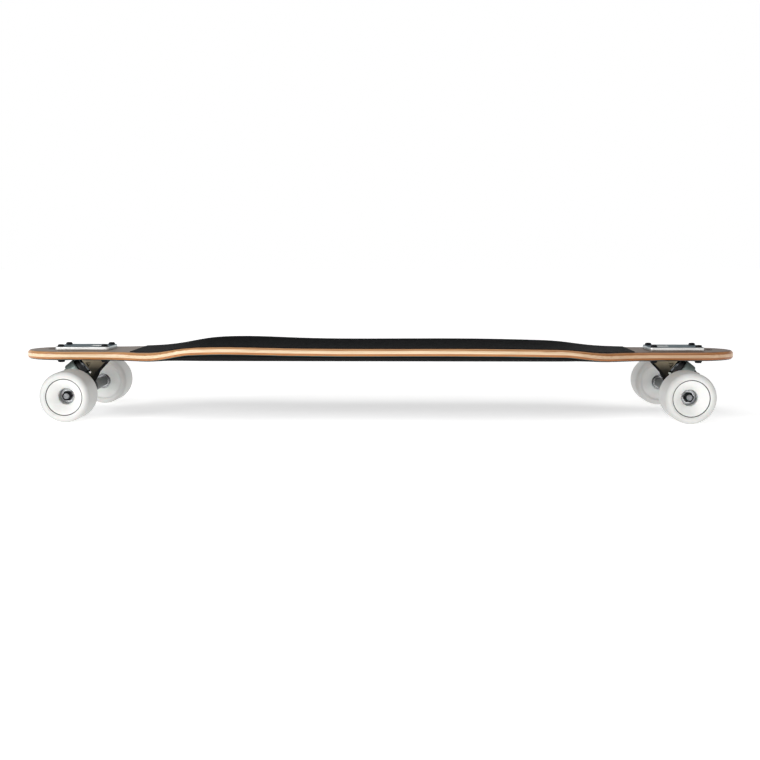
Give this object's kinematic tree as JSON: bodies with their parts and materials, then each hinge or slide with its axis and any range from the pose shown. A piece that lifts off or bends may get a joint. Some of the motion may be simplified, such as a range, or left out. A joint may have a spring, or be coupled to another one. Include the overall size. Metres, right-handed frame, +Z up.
{
  "type": "longboard skateboard",
  "caption": "Drop-through longboard with a concave pressed deck, reverse-kingpin steering trucks and free-spinning wide urethane wheels",
  "frame": {"origin": "on the ground midway between the two axles and on the deck's centreline", "axes": "+X along the deck towards the tail, +Y to the rider's right when facing the nose at -X, +Z up"},
  "size_m": [1.027, 0.256, 0.1031],
  "materials": {
    "maple": "clear lacquer over bent plies",
    "grit": "black abrasive grit on an adhesive backing",
    "cast_aluminium": "cast and tumbled",
    "black_urethane": "moulded, satin",
    "white_urethane": "cast, satin",
    "white_nylon": "moulded",
    "plated_steel": "zinc plated",
    "black_steel": "black oxide",
    "chromed_steel": "bright plated",
    "bearing_steel": "ground and polished"
  },
  "bodies": {
    "deck": {"deck": "maple", "grip_tape": "grit", "front_baseplate": "cast_aluminium", "front_pivot_cup": "black_urethane", "front_kingpin": "plated_steel", "front_kingpin_nut": "plated_steel", "front_boardside_bushing": "black_urethane", "front_roadside_bushing": "black_urethane", "front_cup_washers": "chromed_steel", "front_mounting_bolts": "black_steel", "front_mounting_nuts": "black_steel", "rear_baseplate": "cast_aluminium", "rear_pivot_cup": "black_urethane", "rear_kingpin": "plated_steel", "rear_kingpin_nut": "plated_steel", "rear_boardside_bushing": "black_urethane", "rear_roadside_bushing": "black_urethane", "rear_cup_washers": "chromed_steel", "rear_mounting_bolts": "black_steel", "rear_mounting_nuts": "black_steel"},
    "front_hanger": {"front_hanger": "cast_aluminium", "front_axle": "plated_steel", "front_axle_nuts": "plated_steel", "front_speed_washers": "plated_steel", "front_left_bearing_inner_rings": "bearing_steel", "front_left_bearing_spacer": "plated_steel", "front_right_bearing_inner_rings": "bearing_steel", "front_right_bearing_spacer": "plated_steel"},
    "front_left_wheel": {"front_left_tyre": "white_urethane", "front_left_hub": "white_nylon", "front_left_bearing_outer_rings": "bearing_steel", "front_left_bearing_shields": "chromed_steel"},
    "front_left_balls": {"front_left_bearing_balls": "bearing_steel"},
    "front_right_wheel": {"front_right_tyre": "white_urethane", "front_right_hub": "white_nylon", "front_right_bearing_outer_rings": "bearing_steel", "front_right_bearing_shields": "chromed_steel"},
    "front_right_balls": {"front_right_bearing_balls": "bearing_steel"},
    "rear_hanger": {"rear_hanger": "cast_aluminium", "rear_axle": "plated_steel", "rear_axle_nuts": "plated_steel", "rear_speed_washers": "plated_steel", "rear_left_bearing_inner_rings": "bearing_steel", "rear_left_bearing_spacer": "plated_steel", "rear_right_bearing_inner_rings": "bearing_steel", "rear_right_bearing_spacer": "plated_steel"},
    "rear_left_wheel": {"rear_left_tyre": "white_urethane", "rear_left_hub": "white_nylon", "rear_left_bearing_outer_rings": "bearing_steel", "rear_left_bearing_shields": "chromed_steel"},
    "rear_left_balls": {"rear_left_bearing_balls": "bearing_steel"},
    "rear_right_wheel": {"rear_right_tyre": "white_urethane", "rear_right_hub": "white_nylon", "rear_right_bearing_outer_rings": "bearing_steel", "rear_right_bearing_shields": "chromed_steel"},
    "rear_right_balls": {"rear_right_bearing_balls": "bearing_steel"}
  },
  "joints": [
    {"name": "front_steer", "type": "hinge", "parent": "deck", "child": "front_hanger", "pos_m": [-0.4426, 0, 0.0603], "axis": [0.866, 0, -0.5], "range_deg": [-20, 20], "stiffness_Nm_per_rad": 25, "deforming": ["front_boardside_bushing", "front_roadside_bushing"]},
    {"name": "front_left_spin", "type": "hinge", "parent": "front_hanger", "child": "front_left_wheel", "pos_m": [-0.426, -0.103, 0.035], "axis": [0, 1, 0], "continuous": true},
    {"name": "front_left_ball_orbit", "type": "hinge", "parent": "front_hanger", "child": "front_left_balls", "pos_m": [-0.426, -0.103, 0.035], "axis": [0, 1, 0], "continuous": true},
    {"name": "front_right_spin", "type": "hinge", "parent": "front_hanger", "child": "front_right_wheel", "pos_m": [-0.426, 0.103, 0.035], "axis": [0, 1, 0], "continuous": true},
    {"name": "front_right_ball_orbit", "type": "hinge", "parent": "front_hanger", "child": "front_right_balls", "pos_m": [-0.426, 0.103, 0.035], "axis": [0, 1, 0], "continuous": true},
    {"name": "rear_steer", "type": "hinge", "parent": "deck", "child": "rear_hanger", "pos_m": [0.4426, 0, 0.0603], "axis": [-0.866, 0, -0.5], "range_deg": [-20, 20], "stiffness_Nm_per_rad": 25, "deforming": ["rear_boardside_bushing", "rear_roadside_bushing"]},
    {"name": "rear_left_spin", "type": "hinge", "parent": "rear_hanger", "child": "rear_left_wheel", "pos_m": [0.426, -0.103, 0.035], "axis": [0, 1, 0], "continuous": true},
    {"name": "rear_left_ball_orbit", "type": "hinge", "parent": "rear_hanger", "child": "rear_left_balls", "pos_m": [0.426, -0.103, 0.035], "axis": [0, 1, 0], "continuous": true},
    {"name": "rear_right_spin", "type": "hinge", "parent": "rear_hanger", "child": "rear_right_wheel", "pos_m": [0.426, 0.103, 0.035], "axis": [0, 1, 0], "continuous": true},
    {"name": "rear_right_ball_orbit", "type": "hinge", "parent": "rear_hanger", "child": "rear_right_balls", "pos_m": [0.426, 0.103, 0.035], "axis": [0, 1, 0], "continuous": true}
  ],
  "couplings": [
    {"joint": "front_left_ball_orbit", "follows": "front_left_spin", "ratio": 0.632},
    {"joint": "front_right_ball_orbit", "follows": "front_right_spin", "ratio": 0.632},
    {"joint": "rear_left_ball_orbit", "follows": "rear_left_spin", "ratio": 0.632},
    {"joint": "rear_right_ball_orbit", "follows": "rear_right_spin", "ratio": 0.632}
  ]
}
